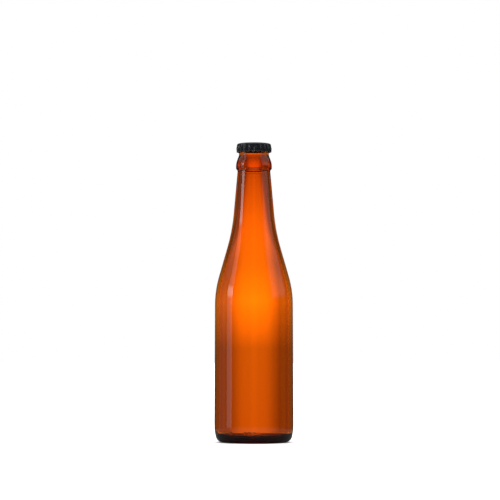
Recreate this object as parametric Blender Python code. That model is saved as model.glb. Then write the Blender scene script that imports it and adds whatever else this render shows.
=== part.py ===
"""Amber glass beer bottle, 226 mm tall and 60 mm across, shut with a black crown cap.

The bottle stands on the origin with its axis along +Z, and sizes are in metres.
Two pieces: the blown glass bottle, hollow inside, and the crimped steel cap.
"""

import math

import bmesh
import bpy

# Driving dimensions of the glass.
GLASS_HEIGHT = 0.226
BODY_RADIUS = 0.030
BORE_RADIUS = 0.0083

# Foot: a bearing ring round a shallow push-up, a rounded heel, and a slope out to the widest line.
BEARING_RADIUS = 0.0210
PUSH_UP_HEIGHT = 0.0050
HEEL_CORNER_RADIUS = 0.0281
HEEL_ROUNDING = 0.0055
HEEL_TOP_RADIUS = 0.02985
HEEL_TOP_HEIGHT = 0.0087
WIDEST_HEIGHT = 0.0146

# Side: three straights, body, shoulder and neck, with their two corners rounded.
SHOULDER_RADIUS = 0.02956
SHOULDER_HEIGHT = 0.1152
SHOULDER_ROUNDING = 0.0793
NECK_RADIUS = 0.01655
NECK_HEIGHT = 0.1606
NECK_ROUNDING = 0.1399
NECK_TOP_RADIUS = 0.01242
NECK_TOP_HEIGHT = 0.2066

# Glass thickness, measured across the axis. The shoulder is blown thinnest.
HEEL_WALL = 0.0029
SHOULDER_WALL = 0.0023
NECK_WALL = 0.0027
NECK_TOP_WALL = 0.0034
INNER_HEEL_ROUNDING = 0.0040
INNER_FLOOR_EDGE_RADIUS = 0.0205
INNER_FLOOR_EDGE_HEIGHT = 0.0048
INNER_FLOOR_HEIGHT = 0.0082

# Finish: the reinforcing ring, which leans in as it rises, the waist over it and the lip that the cap grips.
RING_RADIUS = 0.01368
RING_FOOT_HEIGHT = 0.2079
RING_CORNER_HEIGHT = 0.2121
RING_ROUNDING = 0.0140
WAIST_RADIUS = 0.01145
WAIST_LOW_HEIGHT = 0.2180
WAIST_HIGH_HEIGHT = 0.2214
LIP_RADIUS = 0.01175
LIP_LOW_HEIGHT = 0.2222
LIP_ROUNDING = 0.0018
MOUTH_ROUNDING = 0.0012

# Raised dots on the heel, in steps to the left of the front.
DOT_STEPS = (0, 1, 2, 5.5, 7.5, 11)
DOT_PITCH = math.radians(6.4)
DOT_HEIGHT = 0.0080
DOT_RADIUS = 0.0011
DOT_PROUD = 0.0004

# Crown cap: a domed panel with a skirt of 21 flutes, of sheet steel over a sealing liner.
CAP_TOP_HEIGHT = 0.2274
CAP_DOME = 0.0003
CAP_SHOULDER_RADIUS = 0.0130
CAP_SHOULDER_ROUNDING = 0.0013
CAP_SKIRT_RADIUS = 0.01308
CAP_SKIRT_HEIGHT = 0.2232
CAP_FOOT_RADIUS = 0.01285
CAP_FOOT_HEIGHT = 0.2204
CAP_SHEET = 0.0003
CAP_SEAL_GAP = 0.0003
FLUTE_COUNT = 21
FLUTE_DEPTH = 0.00048
FLUTE_TOP_HEIGHT = 0.2262
FLUTE_SCALLOP = 0.00012

# Facets.
GLASS_SIDES = 64
CAP_SIDES = 6 * FLUTE_COUNT
SIDE_ARC_PIECES = 7
HEEL_ARC_PIECES = 5
SMALL_ARC_PIECES = 3
WELD = 1e-6


def remove_everything():
    for obj in list(bpy.data.objects):
        bpy.data.objects.remove(obj, do_unlink=True)


def make_material(name, colour, roughness, metallic, transmission):
    """A Principled BSDF with one colour."""
    material = bpy.data.materials.new(name)
    material.use_nodes = True
    shader = material.node_tree.nodes["Principled BSDF"]
    shader.inputs["Base Color"].default_value = (*colour, 1.0)
    shader.inputs["Roughness"].default_value = roughness
    shader.inputs["Metallic"].default_value = metallic
    shader.inputs["Transmission Weight"].default_value = transmission
    return material


def rounded(corners):
    """The outline through these corners, each (radius, height, rounding, pieces), with an arc at every rounded one.

    An arc touches both of its straights. A rounding of 0 leaves the corner sharp.
    """
    outline = []
    for i, (x, y, rounding, pieces) in enumerate(corners):
        if rounding == 0:
            outline.append((x, y))
            continue
        back = math.atan2(corners[i - 1][1] - y, corners[i - 1][0] - x)
        on = math.atan2(corners[i + 1][1] - y, corners[i + 1][0] - x)
        half = math.remainder(on - back, math.tau) / 2
        reach = rounding / math.sin(abs(half))
        centre_x = x + reach * math.cos(back + half)
        centre_y = y + reach * math.sin(back + half)
        sweep = math.copysign(math.pi - 2 * abs(half), -half)
        first = back + half + math.pi - sweep / 2
        for k in range(pieces + 1):
            angle = first + sweep * k / pieces
            outline.append((centre_x + rounding * math.cos(angle), centre_y + rounding * math.sin(angle)))
    return outline


def domed(radius, edge_height, middle_height, shares):
    """Points of a shallow dome, at these shares of its radius."""
    rise = middle_height - edge_height
    return [(radius * share, edge_height + rise * (1 - share**2)) for share in shares]


def outer_outline():
    """The outside of the glass, from the middle of the push-up to the bottom of the finish."""
    side = rounded(
        [
            (BEARING_RADIUS, 0.0, 0, 0),
            (HEEL_CORNER_RADIUS, 0.0, HEEL_ROUNDING, HEEL_ARC_PIECES),
            (HEEL_TOP_RADIUS, HEEL_TOP_HEIGHT, 0, 0),
            (BODY_RADIUS, WIDEST_HEIGHT, 0, 0),
            (SHOULDER_RADIUS, SHOULDER_HEIGHT, SHOULDER_ROUNDING, SIDE_ARC_PIECES),
            (NECK_RADIUS, NECK_HEIGHT, NECK_ROUNDING, SIDE_ARC_PIECES),
            (NECK_TOP_RADIUS, NECK_TOP_HEIGHT, 0, 0),
        ]
    )
    return domed(BEARING_RADIUS, 0.0, PUSH_UP_HEIGHT, (0.0, 0.35, 0.65, 0.87)) + side[:-1]


def finish_outline():
    """The top of the bottle, from under the reinforcing ring, over the lip, to the bore."""
    corners = [
        (NECK_RADIUS, NECK_HEIGHT, 0, 0),
        (NECK_TOP_RADIUS, NECK_TOP_HEIGHT, 0.0006, 2),
        (RING_RADIUS, RING_FOOT_HEIGHT, 0.0008, SMALL_ARC_PIECES),
        (RING_RADIUS, RING_CORNER_HEIGHT, RING_ROUNDING, SMALL_ARC_PIECES + 1),
        (WAIST_RADIUS, WAIST_LOW_HEIGHT, 0.0008, 1),
        (WAIST_RADIUS, WAIST_HIGH_HEIGHT, 0, 0),
        (LIP_RADIUS, LIP_LOW_HEIGHT, 0, 0),
        (LIP_RADIUS, GLASS_HEIGHT, LIP_ROUNDING, 2),
        (BORE_RADIUS, GLASS_HEIGHT, MOUTH_ROUNDING, 2),
        (BORE_RADIUS, RING_FOOT_HEIGHT, 0, 0),
    ]
    return rounded(corners)[1:]


def inner_outline():
    """The inside of the glass, from the top of the neck down to the middle of the floor."""
    side = rounded(
        [
            (NECK_TOP_RADIUS - NECK_TOP_WALL, NECK_TOP_HEIGHT - 0.004, 0, 0),
            (NECK_RADIUS - NECK_WALL, NECK_HEIGHT, NECK_ROUNDING + NECK_WALL, SIDE_ARC_PIECES),
            (
                SHOULDER_RADIUS - SHOULDER_WALL,
                SHOULDER_HEIGHT,
                SHOULDER_ROUNDING - SHOULDER_WALL,
                SIDE_ARC_PIECES,
            ),
            (BODY_RADIUS - HEEL_WALL, INNER_FLOOR_EDGE_HEIGHT, INNER_HEEL_ROUNDING, HEEL_ARC_PIECES - 1),
            (INNER_FLOOR_EDGE_RADIUS, INNER_FLOOR_EDGE_HEIGHT, 0, 0),
        ]
    )
    return side + domed(INNER_FLOOR_EDGE_RADIUS, INNER_FLOOR_EDGE_HEIGHT, INNER_FLOOR_HEIGHT, (0.7, 0.35, 0.0))


def turn(name, outline, sides, material):
    """The solid made by spinning an outline round Z. Its first and last points lie on the axis."""
    shape = bmesh.new()
    points = [shape.verts.new((radius, 0.0, height)) for radius, height in outline]
    edges = [shape.edges.new(pair) for pair in zip(points, points[1:])]
    bmesh.ops.spin(
        shape,
        geom=points + edges,
        cent=(0, 0, 0),
        axis=(0, 0, 1),
        angle=math.tau,
        steps=sides,
        use_duplicate=False,
    )
    bmesh.ops.remove_doubles(shape, verts=shape.verts, dist=WELD)
    bmesh.ops.recalc_face_normals(shape, faces=shape.faces)
    mesh = bpy.data.meshes.new(name)
    shape.to_mesh(mesh)
    shape.free()
    mesh.materials.append(material)
    obj = bpy.data.objects.new(name, mesh)
    bpy.context.collection.objects.link(obj)
    return obj


def shade_round(obj, sharp_degrees):
    obj.data.shade_smooth()
    obj.data.set_sharp_from_angle(angle=math.radians(sharp_degrees))


def radius_at(outline, height):
    """The radius where an outline that rises passes this height."""
    for (low_radius, low), (high_radius, high) in zip(outline, outline[1:]):
        if low <= height <= high and high > low:
            return low_radius + (high_radius - low_radius) * (height - low) / (high - low)
    return 0.0


def raise_heel_dots(bottle):
    """Fuses a row of small domes onto the heel."""
    dots = bpy.data.collections.new("heel_dots")
    bpy.context.scene.collection.children.link(dots)
    reach = radius_at(outer_outline(), DOT_HEIGHT)
    for step in DOT_STEPS:
        angle = -math.pi / 2 - step * DOT_PITCH
        bpy.ops.mesh.primitive_uv_sphere_add(segments=10, ring_count=5, radius=DOT_RADIUS)
        dot = bpy.context.active_object
        dot.location = (reach * math.cos(angle), reach * math.sin(angle), DOT_HEIGHT)
        dot.rotation_euler = (0.0, math.pi / 2, angle)
        dot.scale = (1.0, 1.0, DOT_PROUD / DOT_RADIUS)
        for home in list(dot.users_collection):
            home.objects.unlink(dot)
        dots.objects.link(dot)
    union = bottle.modifiers.new("heel_dots", "BOOLEAN")
    union.operation = "UNION"
    union.operand_type = "COLLECTION"
    union.collection = dots
    union.solver = "EXACT"
    bpy.context.view_layer.objects.active = bottle
    bpy.ops.object.modifier_apply(modifier=union.name)
    for dot in list(dots.objects):
        bpy.data.objects.remove(dot, do_unlink=True)
    bpy.data.collections.remove(dots)


def make_bottle():
    glass = make_material("amber_glass", (0.56, 0.19, 0.02), 0.05, 0.0, 1.0)
    outline = outer_outline() + finish_outline() + inner_outline()
    bottle = turn("glass_bottle", outline, GLASS_SIDES, glass)
    raise_heel_dots(bottle)
    shade_round(bottle, 40)
    return bottle


def cap_outline():
    """The cap's section, from the middle of its panel, round the skirt's foot, to the middle of the liner."""
    edge_height = CAP_TOP_HEIGHT - CAP_DOME
    liner_height = GLASS_HEIGHT + CAP_SEAL_GAP
    side = rounded(
        [
            (0.0, edge_height, 0, 0),
            (CAP_SHOULDER_RADIUS, edge_height, CAP_SHOULDER_ROUNDING, SMALL_ARC_PIECES + 1),
            (CAP_SKIRT_RADIUS, CAP_SKIRT_HEIGHT, 0.003, 1),
            (CAP_FOOT_RADIUS, CAP_FOOT_HEIGHT, 0, 0),
            (CAP_FOOT_RADIUS - CAP_SHEET, CAP_FOOT_HEIGHT, 0, 0),
            (CAP_SKIRT_RADIUS - CAP_SHEET, CAP_SKIRT_HEIGHT, 0, 0),
            (CAP_SHOULDER_RADIUS - CAP_SHEET, liner_height, 0.0006, 2),
            (0.0, liner_height, 0, 0),
        ]
    )
    panel_radius = CAP_SHOULDER_RADIUS - CAP_SHOULDER_ROUNDING
    return domed(panel_radius, edge_height, CAP_TOP_HEIGHT, (0.0, 0.6)) + side[1:]


def press_flutes(cap):
    """Pushes the skirt out and in by turns, and scallops its foot."""
    for vertex in cap.data.vertices:
        x, y, z = vertex.co
        radius = math.hypot(x, y)
        depth = (FLUTE_TOP_HEIGHT - z) / (FLUTE_TOP_HEIGHT - CAP_SKIRT_HEIGHT)
        if depth <= 0:
            continue
        wave = math.cos(FLUTE_COUNT * math.atan2(y, x))
        grown = radius + FLUTE_DEPTH * min(1.0, depth) * wave
        foot = max(0.0, (CAP_SKIRT_HEIGHT - z) / (CAP_SKIRT_HEIGHT - CAP_FOOT_HEIGHT))
        vertex.co = (x * grown / radius, y * grown / radius, z + FLUTE_SCALLOP * foot * wave)


def make_cap():
    lacquer = make_material("black_lacquer", (0.018, 0.018, 0.020), 0.32, 0.0, 0.0)
    cap = turn("crown_cap", cap_outline(), CAP_SIDES, lacquer)
    press_flutes(cap)
    shade_round(cap, 50)
    return cap


def main():
    remove_everything()
    make_bottle()
    make_cap()


main()
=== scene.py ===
"""An amber beer bottle with a black crown cap, standing in a small light studio. Sizes are in metres."""

import math

import bpy
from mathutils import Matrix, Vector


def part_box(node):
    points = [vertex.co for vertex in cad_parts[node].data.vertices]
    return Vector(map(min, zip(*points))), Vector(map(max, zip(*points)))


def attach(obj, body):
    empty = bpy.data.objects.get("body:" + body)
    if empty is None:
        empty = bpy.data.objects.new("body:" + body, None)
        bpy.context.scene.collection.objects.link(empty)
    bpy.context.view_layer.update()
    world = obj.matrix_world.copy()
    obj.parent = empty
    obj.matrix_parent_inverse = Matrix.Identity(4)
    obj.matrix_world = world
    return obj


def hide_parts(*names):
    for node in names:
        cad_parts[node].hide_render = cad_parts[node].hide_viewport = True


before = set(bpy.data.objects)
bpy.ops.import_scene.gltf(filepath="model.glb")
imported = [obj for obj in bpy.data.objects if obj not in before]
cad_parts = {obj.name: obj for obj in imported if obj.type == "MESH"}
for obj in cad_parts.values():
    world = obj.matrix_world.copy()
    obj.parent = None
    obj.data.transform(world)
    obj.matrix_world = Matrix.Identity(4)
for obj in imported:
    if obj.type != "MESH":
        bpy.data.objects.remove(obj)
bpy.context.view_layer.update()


# ---------------------------------------------------------------------------
# The bottle: one piece of amber glass, blown in a mould that closes in two halves.
# It is hollow, stands on a ring round a push-up, and its mouth is pressed first, with
# a lip for the cap and a reinforcing ring under it.

GLASS_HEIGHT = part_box("glass_bottle")[1][2]
BODY_RADIUS = 0.030
BORE_RADIUS = 0.0083

BEARING_RADIUS = 0.0210
PUSH_UP_HEIGHT = 0.0050
HEEL_CORNER_RADIUS = 0.0281
HEEL_ROUNDING = 0.0055
HEEL_TOP_RADIUS = 0.02985
HEEL_TOP_HEIGHT = 0.0087
HEEL_TOP_ROUNDING = 0.016
WIDEST_HEIGHT = 0.0146
WIDEST_ROUNDING = 0.030

SHOULDER_RADIUS = 0.02956
SHOULDER_HEIGHT = 0.1152
SHOULDER_ROUNDING = 0.0793
NECK_RADIUS = 0.01655
NECK_HEIGHT = 0.1606
NECK_ROUNDING = 0.1399
NECK_TOP_RADIUS = 0.01242
NECK_TOP_HEIGHT = 0.2066
NECK_TOP_ROUNDING = 0.0022

HEEL_WALL = 0.0029
SHOULDER_WALL = 0.0023
NECK_WALL = 0.0027
NECK_TOP_WALL = 0.0034
INNER_HEEL_ROUNDING = 0.0040
BORE_TAPER = 0.004
BORE_ROUNDING = 0.020
FLOOR_EDGE_RADIUS = 0.0205
FLOOR_EDGE_HEIGHT = 0.0048
FLOOR_MIDDLE_HEIGHT = 0.0082
WALL_LOW_HEIGHT = 0.0165
WALL_INNER_LOW_HEIGHT = 0.0096
WALL_HIGH_HEIGHT = 0.1030

RING_RADIUS = 0.01368
RING_FOOT_HEIGHT = 0.2079
RING_FOOT_ROUNDING = 0.0016
RING_CORNER_HEIGHT = 0.2121
RING_ROUNDING = 0.0140
WAIST_RADIUS = 0.01145
WAIST_LOW_HEIGHT = 0.2180
WAIST_LOW_ROUNDING = 0.0008
WAIST_HIGH_HEIGHT = 0.2214
WAIST_HIGH_ROUNDING = 0.0004
LIP_RADIUS = 0.01175
LIP_LOW_HEIGHT = 0.2222
LIP_LOW_ROUNDING = 0.0004
LIP_ROUNDING = 0.0018
MOUTH_ROUNDING = 0.0012

GLASS_SIDES = 240
WELD = 1e-6


def rounded(corners):
    """Points through (radius, height, rounding, pieces) corners, with an arc at each rounded one."""
    outline = []
    for i, (x, y, rounding, pieces) in enumerate(corners):
        if rounding == 0:
            outline.append((x, y))
            continue
        back = math.atan2(corners[i - 1][1] - y, corners[i - 1][0] - x)
        on = math.atan2(corners[i + 1][1] - y, corners[i + 1][0] - x)
        half = math.remainder(on - back, math.tau) / 2
        reach = rounding / math.sin(abs(half))
        centre_x = x + reach * math.cos(back + half)
        centre_y = y + reach * math.sin(back + half)
        sweep = math.copysign(math.pi - 2 * abs(half), -half)
        first = back + half + math.pi - sweep / 2
        for k in range(pieces + 1):
            angle = first + sweep * k / pieces
            across = rounding * math.cos(angle)
            up = rounding * math.sin(angle)
            outline.append((centre_x + across, centre_y + up))
    return outline


def on_wall(low, high, height):
    """A corner on the straight wall between two others, which keeps an arc's shading off the wall."""
    share = (height - low[1]) / (high[1] - low[1])
    return (low[0] + (high[0] - low[0]) * share, height, 0, 0)


def domed(radius, edge_height, middle_height, pieces):
    """Points of a shallow dome, from its middle to just inside its edge."""
    rise = middle_height - edge_height
    shares = [k / pieces for k in range(pieces)]
    return [(radius * share, edge_height + rise * (1 - share**2)) for share in shares]


def spin_outline(name, outline, sides):
    """Draws an outline one vertex at a time, spins it round Z and welds it shut."""
    bpy.ops.object.select_all(action="DESELECT")
    bpy.ops.mesh.primitive_circle_add(vertices=3, radius=outline[-1][1])
    piece = bpy.context.object
    piece.name = name
    bpy.ops.object.mode_set(mode="EDIT")
    bpy.ops.mesh.merge(type="CENTER")
    bpy.ops.transform.translate(value=(outline[0][0], 0, outline[0][1]))
    for (radius, height), (next_radius, next_height) in zip(outline, outline[1:]):
        step = (next_radius - radius, 0, next_height - height)
        bpy.ops.mesh.extrude_region_move(TRANSFORM_OT_translate={"value": step})
    bpy.ops.mesh.select_all(action="SELECT")
    bpy.ops.mesh.spin(steps=sides, angle=math.tau, center=(0, 0, 0), axis=(0, 0, 1))
    bpy.ops.mesh.select_all(action="SELECT")
    bpy.ops.mesh.remove_doubles(threshold=WELD)
    bpy.ops.mesh.normals_make_consistent(inside=False)
    bpy.ops.object.mode_set(mode="OBJECT")
    return piece


outside = rounded(
    [
        (BEARING_RADIUS, 0.0, 0, 0),
        (HEEL_CORNER_RADIUS, 0.0, HEEL_ROUNDING, 14),
        (HEEL_TOP_RADIUS, HEEL_TOP_HEIGHT, HEEL_TOP_ROUNDING, 4),
        (BODY_RADIUS, WIDEST_HEIGHT, WIDEST_ROUNDING, 3),
        on_wall((BODY_RADIUS, WIDEST_HEIGHT), (SHOULDER_RADIUS, SHOULDER_HEIGHT), WALL_LOW_HEIGHT),
        on_wall((BODY_RADIUS, WIDEST_HEIGHT), (SHOULDER_RADIUS, SHOULDER_HEIGHT), WALL_HIGH_HEIGHT),
        (SHOULDER_RADIUS, SHOULDER_HEIGHT, SHOULDER_ROUNDING, 26),
        (NECK_RADIUS, NECK_HEIGHT, NECK_ROUNDING, 26),
        (NECK_TOP_RADIUS, NECK_TOP_HEIGHT, NECK_TOP_ROUNDING, 6),
        (RING_RADIUS, RING_FOOT_HEIGHT, RING_FOOT_ROUNDING, 8),
        (RING_RADIUS, RING_CORNER_HEIGHT, RING_ROUNDING, 10),
        (WAIST_RADIUS, WAIST_LOW_HEIGHT, WAIST_LOW_ROUNDING, 4),
        (WAIST_RADIUS, WAIST_HIGH_HEIGHT, WAIST_HIGH_ROUNDING, 2),
        (LIP_RADIUS, LIP_LOW_HEIGHT, LIP_LOW_ROUNDING, 2),
        (LIP_RADIUS, GLASS_HEIGHT, LIP_ROUNDING, 6),
        (BORE_RADIUS, GLASS_HEIGHT, MOUTH_ROUNDING, 6),
        (BORE_RADIUS, RING_FOOT_HEIGHT, 0, 0),
    ]
)
inner_heel = (BODY_RADIUS - HEEL_WALL, FLOOR_EDGE_HEIGHT)
inner_shoulder = (SHOULDER_RADIUS - SHOULDER_WALL, SHOULDER_HEIGHT)
inside = rounded(
    [
        (BORE_RADIUS, RING_FOOT_HEIGHT, 0, 0),
        (NECK_TOP_RADIUS - NECK_TOP_WALL, NECK_TOP_HEIGHT - BORE_TAPER, BORE_ROUNDING, 6),
        (NECK_RADIUS - NECK_WALL, NECK_HEIGHT, NECK_ROUNDING + NECK_WALL, 26),
        (SHOULDER_RADIUS - SHOULDER_WALL, SHOULDER_HEIGHT, SHOULDER_ROUNDING - SHOULDER_WALL, 26),
        on_wall(inner_heel, inner_shoulder, WALL_HIGH_HEIGHT),
        on_wall(inner_heel, inner_shoulder, WALL_INNER_LOW_HEIGHT),
        (BODY_RADIUS - HEEL_WALL, FLOOR_EDGE_HEIGHT, INNER_HEEL_ROUNDING, 12),
        (FLOOR_EDGE_RADIUS, FLOOR_EDGE_HEIGHT, 0, 0),
    ]
)
push_up = domed(BEARING_RADIUS, 0.0, PUSH_UP_HEIGHT, 8)
floor_dome = domed(FLOOR_EDGE_RADIUS, FLOOR_EDGE_HEIGHT, FLOOR_MIDDLE_HEIGHT, 8)
bottle = spin_outline("amber_bottle", push_up + outside + inside[1:] + floor_dome[::-1], GLASS_SIDES)

# Small raised dots on the heel, cut into the mould, tell one mould from the next.
DOT_STEPS = (0, 1, 2, 5.5, 7.5, 11)
DOT_PITCH = math.radians(6.4)
DOT_HEIGHT = 0.0080
DOT_RADIUS = 0.0011
DOT_PROUD = 0.0004
DOT_REACH = BODY_RADIUS - 0.0003

dots = []
for step in DOT_STEPS:
    angle = -math.pi / 2 - step * DOT_PITCH
    bpy.ops.object.select_all(action="DESELECT")
    bpy.ops.mesh.primitive_uv_sphere_add(segments=20, ring_count=12, radius=DOT_RADIUS)
    dot = bpy.context.object
    bpy.ops.transform.resize(value=(1, 1, DOT_PROUD / DOT_RADIUS))
    dot.rotation_euler = (0, math.pi / 2, angle)
    dot.location = (DOT_REACH * math.cos(angle), DOT_REACH * math.sin(angle), DOT_HEIGHT)
    dots.append(dot)
bpy.ops.object.select_all(action="DESELECT")
for dot in dots:
    dot.select_set(True)
bpy.context.view_layer.objects.active = dots[0]
bpy.ops.object.join()
dots = bpy.context.object
bpy.ops.object.select_all(action="DESELECT")
bottle.select_set(True)
bpy.context.view_layer.objects.active = bottle
fuse = bottle.modifiers.new("fuse_dots", "BOOLEAN")
fuse.operation = "UNION"
fuse.object = dots
fuse.solver = "EXACT"
bpy.ops.object.modifier_apply(modifier=fuse.name)
bpy.data.objects.remove(dots, do_unlink=True)
bpy.ops.object.shade_smooth_by_angle(angle=math.radians(35))


def calc(tree, operation, *values):
    """A Math node in this node tree. Each value is a socket or a number."""
    node = tree.nodes.new("ShaderNodeMath")
    node.operation = operation
    for socket, value in zip(node.inputs, values):
        if isinstance(value, (int, float)):
            socket.default_value = value
        else:
            tree.links.new(value, socket)
    return node.outputs[0]


def fade(tree, value, start, end):
    """Rises smoothly from 0 at start to 1 at end, or falls where start is the larger."""
    node = tree.nodes.new("ShaderNodeMapRange")
    node.interpolation_type = "SMOOTHSTEP"
    tree.links.new(value, node.inputs["Value"])
    for socket, limit in (("From Min", start), ("From Max", end)):
        if isinstance(limit, (int, float)):
            node.inputs[socket].default_value = limit
        else:
            tree.links.new(limit, node.inputs[socket])
    return node.outputs["Result"]


def noise(tree, place, scale, detail):
    """Soft noise from 0 to 1 at this place."""
    node = tree.nodes.new("ShaderNodeTexNoise")
    node.inputs["Detail"].default_value = detail
    tree.links.new(place, node.inputs["Vector"])
    if isinstance(scale, (int, float)):
        node.inputs["Scale"].default_value = scale
    else:
        tree.links.new(scale, node.inputs["Scale"])
    return node.outputs["Fac"]


def new_group(name, inputs, output):
    """An empty shader group with these number inputs and one number output."""
    group = bpy.data.node_groups.new(name, "ShaderNodeTree")
    for socket in inputs:
        group.interface.new_socket(name=socket, in_out="INPUT", socket_type="NodeSocketFloat")
    group.interface.new_socket(name=output, in_out="OUTPUT", socket_type="NodeSocketFloat")
    return group, group.nodes.new("NodeGroupInput").outputs, group.nodes.new("NodeGroupOutput").inputs[output]


# Long shallow waves with a fine ripple on them, as on every surface here that was hot or pressed.
wave_group, given, result = new_group("shallow_waves", ("Waves Per Metre", "Ripple Share"), "Height")
place = wave_group.nodes.new("ShaderNodeTexCoord").outputs["Object"]
long_waves = noise(wave_group, place, given["Waves Per Metre"], 1.0)
ripple = noise(wave_group, place, calc(wave_group, "MULTIPLY", given["Waves Per Metre"], 7.0), 2.0)
ripple = calc(wave_group, "MULTIPLY", ripple, given["Ripple Share"])
wave_group.links.new(calc(wave_group, "ADD", long_waves, ripple), result)

# Faint smears left by hands and packing: patches, broken up by finer streaks along Z.
smear_group, given, result = new_group("handling_smears", ("Patches Per Metre", "Streaks Per Metre"), "Mask")
place = smear_group.nodes.new("ShaderNodeTexCoord").outputs["Object"]
stretch = smear_group.nodes.new("ShaderNodeMapping")
stretch.inputs["Scale"].default_value = (1.0, 1.0, 0.12)
smear_group.links.new(place, stretch.inputs["Vector"])
patches = fade(smear_group, noise(smear_group, place, given["Patches Per Metre"], 3.0), 0.45, 0.75)
streaks = noise(smear_group, stretch.outputs["Vector"], given["Streaks Per Metre"], 4.0)
streaks = fade(smear_group, streaks, 0.40, 0.70)
smear_group.links.new(calc(smear_group, "MULTIPLY", patches, streaks), result)


def place_group(tree, group, **values):
    """A group's output in this node tree, with its number inputs set."""
    node = tree.nodes.new("ShaderNodeGroup")
    node.node_tree = group
    for socket, value in values.items():
        node.inputs[socket.replace("_", " ")].default_value = value
    return node.outputs[0]


def raise_bumps(tree, height, depth):
    """Bumps of this real depth in metres, put on the Principled shader."""
    bump = tree.nodes.new("ShaderNodeBump")
    bump.inputs["Strength"].default_value = 1.0
    bump.inputs["Distance"].default_value = depth
    tree.links.new(height, bump.inputs["Height"])
    tree.links.new(bump.outputs["Normal"], tree.nodes["Principled BSDF"].inputs["Normal"])


def colour_mix(tree, share, first, second):
    """A colour between two others. Each is a socket or three numbers."""
    node = tree.nodes.new("ShaderNodeMix")
    node.data_type = "RGBA"
    tree.links.new(share, node.inputs["Factor"])
    for socket, colour in (("A", first), ("B", second)):
        if isinstance(colour, tuple):
            node.inputs[socket].default_value = (*colour, 1.0)
        else:
            tree.links.new(colour, node.inputs[socket])
    return node.outputs["Result"]


def from_axis(tree, place):
    """The distance from the Z axis, from the outputs of a Separate XYZ node."""
    across = calc(tree, "POWER", place["X"], 2.0)
    away = calc(tree, "POWER", place["Y"], 2.0)
    return calc(tree, "SQRT", calc(tree, "ADD", across, away))


# Amber glass swallows blue at once, green in a few millimetres and red slowly.
# Its surface waves a little, two hair lines show where the mould's halves met, and the ring that
# it stands on is stippled. The thick foot lets little light out, and its colour is painted dark there too:
# painted shade.
SEAM_HALF_WIDTH = 0.00018
STIPPLE_INNER_RADIUS = 0.0204
STIPPLE_OUTER_RADIUS = 0.0242
STIPPLES_PER_METRE = 900.0
STIPPLE_EDGE = 0.0005
STIPPLE_TOP_HEIGHT = 0.0006
STIPPLE_FULL_HEIGHT = 0.0002
CLEAR_TINT = (1.0, 0.50, 0.03)
# The near-black colour at the foot is painted shade, not a tint of the glass.
FOOT_PAINTED_SHADE = (0.13, 0.12, 0.03)
FOOT_PAINTED_SHADE_HEIGHT = 0.0066
FOOT_PAINTED_SHADE_FADE = 0.0025
GLASS_RELIEF = 0.00015

glass = bpy.data.materials.new("amber_glass")
glass.use_nodes = True
tree = glass.node_tree
shader = tree.nodes["Principled BSDF"]
shader.inputs["IOR"].default_value = 1.52
shader.inputs["Transmission Weight"].default_value = 1.0
amber = tree.nodes.new("ShaderNodeVolumeAbsorption")
amber.inputs["Color"].default_value = (0.90, 0.61, 0.03, 1.0)
amber.inputs["Density"].default_value = 400.0
tree.links.new(amber.outputs["Volume"], tree.nodes["Material Output"].inputs["Volume"])

smears = place_group(tree, smear_group, Patches_Per_Metre=38.0, Streaks_Per_Metre=420.0)
tree.links.new(calc(tree, "MULTIPLY", smears, 0.02), shader.inputs["Roughness"])

place = tree.nodes.new("ShaderNodeTexCoord").outputs["Object"]
split = tree.nodes.new("ShaderNodeSeparateXYZ")
tree.links.new(place, split.inputs["Vector"])
seam = fade(tree, calc(tree, "ABSOLUTE", split.outputs["Y"]), SEAM_HALF_WIDTH, 0.0)
waves = place_group(tree, wave_group, Waves_Per_Metre=55.0, Ripple_Share=0.05)
radius = from_axis(tree, split.outputs)
past_inner = fade(tree, radius, STIPPLE_INNER_RADIUS, STIPPLE_INNER_RADIUS + STIPPLE_EDGE)
within_outer = fade(tree, radius, STIPPLE_OUTER_RADIUS, STIPPLE_OUTER_RADIUS - STIPPLE_EDGE)
underneath = fade(tree, split.outputs["Z"], STIPPLE_TOP_HEIGHT, STIPPLE_FULL_HEIGHT)
on_ring = calc(tree, "MULTIPLY", calc(tree, "MULTIPLY", past_inner, within_outer), underneath)
# Low down the base colour fades to near black: painted shade at the foot.
foot = fade(tree, split.outputs["Z"], FOOT_PAINTED_SHADE_HEIGHT, FOOT_PAINTED_SHADE_HEIGHT - FOOT_PAINTED_SHADE_FADE)
tree.links.new(colour_mix(tree, foot, CLEAR_TINT, FOOT_PAINTED_SHADE), shader.inputs["Base Color"])
cells = tree.nodes.new("ShaderNodeTexVoronoi")
cells.inputs["Scale"].default_value = STIPPLES_PER_METRE
tree.links.new(place, cells.inputs["Vector"])
stipple = calc(tree, "MULTIPLY", fade(tree, cells.outputs["Distance"], 0.5, 0.1), on_ring)
marks = calc(tree, "ADD", calc(tree, "MULTIPLY", seam, 0.15), stipple)
relief = calc(tree, "ADD", calc(tree, "MULTIPLY", waves, 0.30), marks)
raise_bumps(tree, relief, GLASS_RELIEF)
bottle.data.materials.clear()
bottle.data.materials.append(glass)

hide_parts("glass_bottle")
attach(bottle, "root")


# ---------------------------------------------------------------------------
# The crown cap: a disc of tinned steel, lacquered black, with a skirt pressed into flutes.
# A plastic liner seals it on the lip, and the skirt is crimped in under the bead.

CAP_TOP_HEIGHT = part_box("crown_cap")[1][2]
CAP_DOME = 0.0003
CAP_SHOULDER_RADIUS = 0.0130
CAP_SHOULDER_ROUNDING = 0.0013
CAP_SKIRT_RADIUS = 0.01308
CAP_SKIRT_HEIGHT = 0.2232
CAP_FOOT_RADIUS = 0.01285
CAP_FOOT_HEIGHT = 0.2204
CAP_SHEET = 0.0003
CAP_SEAL_GAP = 0.0003
FLUTE_COUNT = 21
FLUTE_DEPTH = 0.00048
FLUTE_TOP_HEIGHT = 0.2262
FLUTE_SCALLOP = 0.00012
FLUTE_ARCH = 0.0013
CREST_SHARPNESS = 1.6
PRESS_CURVE = 0.8

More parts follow.
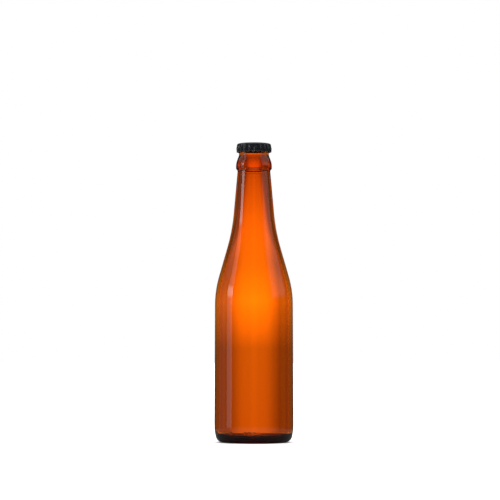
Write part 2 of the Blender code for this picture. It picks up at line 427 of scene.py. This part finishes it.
cap_edge_height = CAP_TOP_HEIGHT - CAP_DOME
cap_side = rounded(
    [
        (0.0, cap_edge_height, 0, 0),
        (CAP_SHOULDER_RADIUS, cap_edge_height, CAP_SHOULDER_ROUNDING, 12),
        (CAP_SKIRT_RADIUS, CAP_SKIRT_HEIGHT, 0.006, 14),
        (CAP_FOOT_RADIUS, CAP_FOOT_HEIGHT, 0.00012, 2),
        (CAP_FOOT_RADIUS - CAP_SHEET, CAP_FOOT_HEIGHT, 0.00012, 2),
        (CAP_SKIRT_RADIUS - CAP_SHEET, CAP_SKIRT_HEIGHT, 0.003, 3),
        (CAP_SHOULDER_RADIUS - CAP_SHEET, GLASS_HEIGHT + CAP_SEAL_GAP, 0.0006, 4),
        (0.0, GLASS_HEIGHT + CAP_SEAL_GAP, 0, 0),
    ]
)
cap_panel = domed(CAP_SHOULDER_RADIUS - CAP_SHOULDER_ROUNDING, cap_edge_height, CAP_TOP_HEIGHT, 6)
cap = spin_outline("crown_cap_lacquered", cap_panel + cap_side[1:], 16 * FLUTE_COUNT)
# The flutes' crests are narrow, and each hollow between two of them starts as an arch.
for vertex in cap.data.vertices:
    x, y, z = vertex.co
    radius = math.hypot(x, y)
    wave = math.cos(FLUTE_COUNT * math.atan2(y, x))
    crest = ((1 + wave) / 2) ** CREST_SHARPNESS
    start = FLUTE_TOP_HEIGHT - FLUTE_ARCH * crest
    depth = (start - z) / (start - CAP_SKIRT_HEIGHT)
    if depth > 0:
        pressed = min(1.0, depth) ** PRESS_CURVE
        grown = radius + FLUTE_DEPTH * pressed * (2 * crest - 1)
        foot = max(0.0, (CAP_SKIRT_HEIGHT - z) / (CAP_SKIRT_HEIGHT - CAP_FOOT_HEIGHT))
        vertex.co = (x * grown / radius, y * grown / radius, z + FLUTE_SCALLOP * foot * wave)
bpy.ops.object.shade_smooth_by_angle(angle=math.radians(50))

# Satin black lacquer, rubbed thin on the crests of the flutes. The sheet's cut edge is bare tin.
CUT_EDGE_HEIGHT = CAP_FOOT_HEIGHT + 0.0002
RUBBED_FROM = 0.00030
LACQUER = (0.0055, 0.0065, 0.0085)
BARE_TIN = (0.16, 0.16, 0.155)
LACQUER_RELIEF = 0.000012
lacquer = bpy.data.materials.new("black_lacquer")
lacquer.use_nodes = True
tree = lacquer.node_tree
shader = tree.nodes["Principled BSDF"]
shader.inputs["Coat Roughness"].default_value = 0.12
shader.inputs["Coat Weight"].default_value = 0.4
smears = place_group(tree, smear_group, Patches_Per_Metre=190.0, Streaks_Per_Metre=2600.0)
place = tree.nodes.new("ShaderNodeTexCoord").outputs["Object"]
split = tree.nodes.new("ShaderNodeSeparateXYZ")
tree.links.new(place, split.inputs["Vector"])
reach = from_axis(tree, split.outputs)
crests = fade(tree, reach, CAP_SKIRT_RADIUS + RUBBED_FROM, CAP_SKIRT_RADIUS + FLUTE_DEPTH)
rubbed = calc(tree, "MULTIPLY", crests, fade(tree, noise(tree, place, 1500.0, 2.0), 0.50, 0.62))
cut_edge = fade(tree, split.outputs["Z"], CUT_EDGE_HEIGHT + 0.0001, CUT_EDGE_HEIGHT)
bare = calc(tree, "ADD", calc(tree, "MULTIPLY", rubbed, 0.5), calc(tree, "MULTIPLY", cut_edge, 0.6))
bare = calc(tree, "MINIMUM", bare, 1.0)
tree.links.new(colour_mix(tree, bare, LACQUER, BARE_TIN), shader.inputs["Base Color"])
tree.links.new(calc(tree, "MULTIPLY", bare, 0.9), shader.inputs["Metallic"])
tree.links.new(calc(tree, "ADD", calc(tree, "MULTIPLY", smears, 0.12), 0.22), shader.inputs["Roughness"])
raise_bumps(tree, place_group(tree, wave_group, Waves_Per_Metre=700.0, Ripple_Share=0.4), LACQUER_RELIEF)
cap.data.materials.clear()
cap.data.materials.append(lacquer)

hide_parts("crown_cap")
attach(cap, "root")


# ---------------------------------------------------------------------------
# The studio: a white sheet that the bottle stands on, a lit screen right round it that shows
# through the glass alone, a strip light at its left and a softer one high at its right.

bpy.ops.object.select_all(action="DESELECT")
bpy.ops.mesh.primitive_plane_add(size=12.0)
table = bpy.context.object
table.name = "table"
paper = bpy.data.materials.new("white_paper")
paper.use_nodes = True
tree = paper.node_tree
shader = tree.nodes["Principled BSDF"]
shader.inputs["Roughness"].default_value = 0.9
shader.inputs["Specular IOR Level"].default_value = 0.2
raise_bumps(tree, place_group(tree, wave_group, Waves_Per_Metre=300.0, Ripple_Share=0.6), 0.00005)


def grey(brightness):
    return (brightness, brightness, brightness)


# The light behind the bottle is bright in the middle and dim to the sides. It repeats every
# quarter turn, so that each side is lit as the front is.
MIDDLE_TURN = 4.0
SIDE_TURN = 16.0
SIDE_SHARE = 0.35


def towards_middle(tree, place):
    """1 behind the bottle's middle and 0 to the sides, from the outputs of a Separate XYZ node."""
    turn = calc(tree, "DEGREES", calc(tree, "ARCTAN2", place["X"], place["Y"]))
    turn = calc(tree, "WRAP", turn, 45.0, -45.0)
    return fade(tree, calc(tree, "ABSOLUTE", turn), SIDE_TURN, MIDDLE_TURN)


def dimmed_aside(tree, light, middle):
    """This light, dimmed to the sides."""
    share = calc(tree, "ADD", calc(tree, "MULTIPLY", middle, 1.0 - SIDE_SHARE), SIDE_SHARE)
    scale = tree.nodes.new("ShaderNodeVectorMath")
    scale.operation = "SCALE"
    tree.links.new(light, scale.inputs[0])
    tree.links.new(share, scale.inputs["Scale"])
    return scale.outputs["Vector"]


# Round the foot the sheet's colour is painted ray by ray: dark in reflections, a painted shade, and through
# the glass about as bright as the screen's foot and brighter behind the middle, painted light, so that the
# two meet softly. Further out neither shows it.
DIM_RADIUS = 0.130
DIM_EDGE = 0.04
SHEET_MIDDLE = 0.75
SHEET_SIDE = 0.27
seen = tree.nodes.new("ShaderNodeLightPath")
place = tree.nodes.new("ShaderNodeTexCoord").outputs["Object"]
split = tree.nodes.new("ShaderNodeSeparateXYZ")
tree.links.new(place, split.inputs["Vector"])
reach = from_axis(tree, split.outputs)
straight = calc(tree, "MAXIMUM", seen.outputs["Is Camera Ray"], seen.outputs["Is Diffuse Ray"])
middle = towards_middle(tree, split.outputs)
# Through the glass the sheet's colour is painted lighter behind the middle and darker to the sides (painted
# light and shade); in reflections it is painted dark grey (painted shade).
through_glass = colour_mix(tree, middle, grey(SHEET_SIDE), grey(SHEET_MIDDLE))
dim = colour_mix(tree, seen.outputs["Is Transmission Ray"], grey(0.10), through_glass)
tree.links.new(colour_mix(tree, straight, dim, grey(0.88)), shader.inputs["Base Color"])
bent = calc(tree, "SUBTRACT", 1.0, straight)
beyond = calc(tree, "MULTIPLY", bent, fade(tree, reach, DIM_RADIUS, DIM_RADIUS + DIM_EDGE))
clear = tree.nodes.new("ShaderNodeBsdfTransparent")
either = tree.nodes.new("ShaderNodeMixShader")
tree.links.new(beyond, either.inputs[0])
tree.links.new(shader.outputs["BSDF"], either.inputs[1])
tree.links.new(clear.outputs["BSDF"], either.inputs[2])
tree.links.new(either.outputs[0], tree.nodes["Material Output"].inputs["Surface"])
table.data.materials.append(paper)

RAMP_TOP = 5.0


def graded(tree, value, stops):
    """A colour that changes straight from one (value, colour) stop to the next."""
    low = stops[0][0]
    high = stops[-1][0]
    ramp = tree.nodes.new("ShaderNodeValToRGB")
    for i, (at, colour) in enumerate(stops):
        place = (at - low) / (high - low)
        stop = ramp.color_ramp.elements[i] if i < 2 else ramp.color_ramp.elements.new(place)
        stop.position = place
        stop.color = (*[channel / RAMP_TOP for channel in colour], 1.0)
    share = calc(tree, "DIVIDE", calc(tree, "SUBTRACT", value, low), high - low)
    tree.links.new(share, ramp.inputs["Fac"])
    scale = tree.nodes.new("ShaderNodeVectorMath")
    scale.operation = "SCALE"
    scale.inputs["Scale"].default_value = RAMP_TOP
    tree.links.new(ramp.outputs["Color"], scale.inputs["Vector"])
    return scale.outputs["Vector"]


# The screen's glow is graded by height, brightest at the height of the shoulder.
SCREEN_RADIUS = 0.120
SCREEN_HEIGHT = 0.172
SCREEN_FADE = 0.030
SCREEN_LEVELS = ((0.0, 0.9), (0.070, 0.9), (0.110, 2.2), (0.140, 1.5), (SCREEN_HEIGHT, 1.4))
bpy.ops.mesh.primitive_cylinder_add(
    vertices=96,
    radius=SCREEN_RADIUS,
    depth=SCREEN_HEIGHT,
    end_fill_type="NOTHING",
    location=(0.0, 0.0, SCREEN_HEIGHT / 2),
)
screen = bpy.context.object
screen.name = "screen"
bpy.ops.object.transform_apply(location=True)
for kind in ("camera", "diffuse", "glossy", "shadow", "volume_scatter"):
    setattr(screen, "visible_" + kind, False)
lit = bpy.data.materials.new("lit_screen")
lit.use_nodes = True
lit.cycles.emission_sampling = "NONE"
tree = lit.node_tree
tree.nodes.remove(tree.nodes["Principled BSDF"])
split = tree.nodes.new("ShaderNodeSeparateXYZ")
tree.links.new(tree.nodes.new("ShaderNodeTexCoord").outputs["Object"], split.inputs["Vector"])
lamp = graded(tree, split.outputs["Z"], [(height, grey(level)) for height, level in SCREEN_LEVELS])
screen_light = dimmed_aside(tree, lamp, towards_middle(tree, split.outputs))
glow = tree.nodes.new("ShaderNodeEmission")
tree.links.new(screen_light, glow.inputs["Color"])
clear = tree.nodes.new("ShaderNodeBsdfTransparent")
either = tree.nodes.new("ShaderNodeMixShader")
tree.links.new(fade(tree, split.outputs["Z"], SCREEN_HEIGHT - SCREEN_FADE, SCREEN_HEIGHT), either.inputs[0])
tree.links.new(glow.outputs["Emission"], either.inputs[1])
tree.links.new(clear.outputs["BSDF"], either.inputs[2])
tree.links.new(either.outputs[0], tree.nodes["Material Output"].inputs["Surface"])
screen.data.materials.append(lit)

# A panel of light fills a range of azimuth, from +Y towards +X, and of elevation, in degrees.
panel_group, given, result = new_group(
    "light_panel",
    ("Azimuth", "Elevation", "Middle", "Half Width", "Low", "High", "Side Softness", "End Softness"),
    "Mask",
)


def panel_edge(inside, softness):
    """Rises from 0 to 1 as the distance inside an edge goes from minus to plus half its softness."""
    half = calc(panel_group, "MULTIPLY", softness, 0.5)
    return fade(panel_group, inside, calc(panel_group, "MULTIPLY", half, -1.0), half)


aside = calc(panel_group, "ABSOLUTE", calc(panel_group, "SUBTRACT", given["Azimuth"], given["Middle"]))
sides = panel_edge(calc(panel_group, "SUBTRACT", given["Half Width"], aside), given["Side Softness"])
low_end = panel_edge(calc(panel_group, "SUBTRACT", given["Elevation"], given["Low"]), given["End Softness"])
high_end = panel_edge(calc(panel_group, "SUBTRACT", given["High"], given["Elevation"]), given["End Softness"])
mask = calc(panel_group, "MULTIPLY", sides, calc(panel_group, "MULTIPLY", low_end, high_end))
panel_group.links.new(mask, result)

world = bpy.data.worlds.new("studio")
bpy.context.scene.world = world
world.use_nodes = True
tree = world.node_tree
split = tree.nodes.new("ShaderNodeSeparateXYZ")
tree.links.new(tree.nodes.new("ShaderNodeTexCoord").outputs["Generated"], split.inputs["Vector"])
azimuth = calc(tree, "DEGREES", calc(tree, "ARCTAN2", split.outputs["X"], split.outputs["Y"]))
elevation = calc(tree, "DEGREES", calc(tree, "ARCSINE", split.outputs["Z"]))


def lit_by(turned, rest, panels):
    """The light from each direction: the rest colour with each panel laid over it in turn."""
    light = rest
    for middle, half_width, low, high, side_softness, end_softness, colour in panels:
        panel = tree.nodes.new("ShaderNodeGroup")
        panel.node_tree = panel_group
        tree.links.new(turned, panel.inputs["Azimuth"])
        tree.links.new(elevation, panel.inputs["Elevation"])
        settings = (middle, half_width, low, high, side_softness, end_softness)
        for socket, value in zip(list(panel.inputs)[2:], settings):
            socket.default_value = value
        light = colour_mix(tree, panel.outputs["Mask"], light, colour)
    return light


# Over the screen's edge the neck and the ring look out on the far wall.
FAR_LEVELS = ((-12.0, 0.6), (4.0, 1.5), (12.0, 0.5), (20.0, 1.0))
far_wall = graded(tree, elevation, [(at, grey(level)) for at, level in FAR_LEVELS])
through = dimmed_aside(tree, far_wall, towards_middle(tree, split.outputs))

# What the glass and the cap reflect: a strip light at the left that is brighter higher up, a
# softer light at the right, two small lights high in front, and dim walls for the rest.
SOFTBOXES = (
    (0.0, 180.0, 50.0, 120.0, 1.0, 6.0, grey(0.4)),
    (-74.0, 14.0, -120.0, 60.0, 4.0, 6.0, grey(0.15)),
    (-60.0, 28.0, 21.0, 70.0, 6.0, 4.0, grey(0.4)),
    (60.0, 28.0, 21.0, 70.0, 6.0, 4.0, grey(0.4)),
    (-150.0, 42.0, 51.0, 68.0, 10.0, 4.0, grey(3.0)),
    (150.0, 42.0, 51.0, 68.0, 10.0, 4.0, grey(3.0)),
    (98.0, 26.0, 8.0, 120.0, 14.0, 6.0, grey(0.6)),
    (-102.5, 9.5, -120.0, 120.0, 1.5, 3.0, grey(0.9)),
    (-102.5, 9.5, 8.0, 17.0, 1.5, 4.0, grey(3.5)),
)
reflected = lit_by(azimuth, grey(0.03), SOFTBOXES)
ZENITH_LIGHT = 2.8
HORIZON_LIGHT = 0.1
upward = calc(tree, "MAXIMUM", split.outputs["Z"], 0.0)
overhead = calc(tree, "ADD", calc(tree, "MULTIPLY", upward, ZENITH_LIGHT), HORIZON_LIGHT)
seen = tree.nodes.new("ShaderNodeLightPath")
light = colour_mix(tree, seen.outputs["Is Glossy Ray"], overhead, reflected)
light = colour_mix(tree, seen.outputs["Is Transmission Ray"], light, through)
light = colour_mix(tree, seen.outputs["Is Camera Ray"], light, grey(1.0))
tree.links.new(light, tree.nodes["Background"].inputs["Color"])

CAMERA_PLACE = (0.0, -1.5, 0.075)
CAMERA_AIM = (-0.0030, 0.0, 0.1459)
CAMERA_LENS = 141.9
camera_data = bpy.data.cameras.new("camera")
camera_data.lens = CAMERA_LENS
camera_data.sensor_width = 36.0
camera_data.clip_start = 0.01
camera = bpy.data.objects.new("camera", camera_data)
bpy.context.scene.collection.objects.link(camera)
camera.location = CAMERA_PLACE
across = CAMERA_AIM[0] - CAMERA_PLACE[0]
away = CAMERA_AIM[1] - CAMERA_PLACE[1]
up = CAMERA_AIM[2] - CAMERA_PLACE[2]
camera.rotation_euler = (math.pi / 2 + math.atan2(up, away), 0.0, -math.atan2(across, away))
bpy.context.scene.camera = camera

bpy.context.scene.view_settings.view_transform = "Standard"
